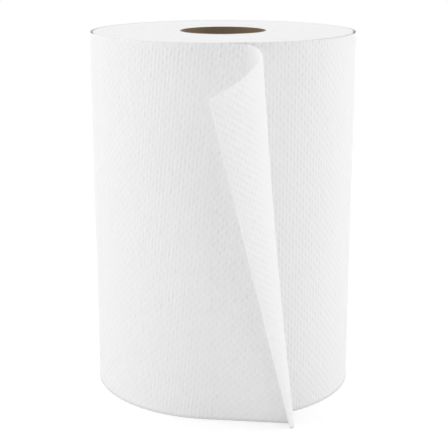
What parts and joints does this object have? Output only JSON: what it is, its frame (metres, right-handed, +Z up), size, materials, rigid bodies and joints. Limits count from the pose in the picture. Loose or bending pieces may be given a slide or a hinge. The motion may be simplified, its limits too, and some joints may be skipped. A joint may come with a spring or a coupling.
{
  "type": "paper towel roll",
  "caption": "Hardwound roll of white embossed paper towel on a brown board core, standing on end with a curled loose tail.",
  "frame": {"origin": "centre of the core's bore at the roll's bottom end", "axes": "+Z up along the roll's axis, -Y towards the front where the tail leaves the roll, +X to the right seen from the front"},
  "size_m": [0.1452, 0.1899, 0.2],
  "materials": {
    "towel_paper": "matte, embossed",
    "core_board": "matte"
  },
  "bodies": {
    "root": {"wound_towel": "towel_paper", "core_tube": "core_board"}
  },
  "joints": []
}
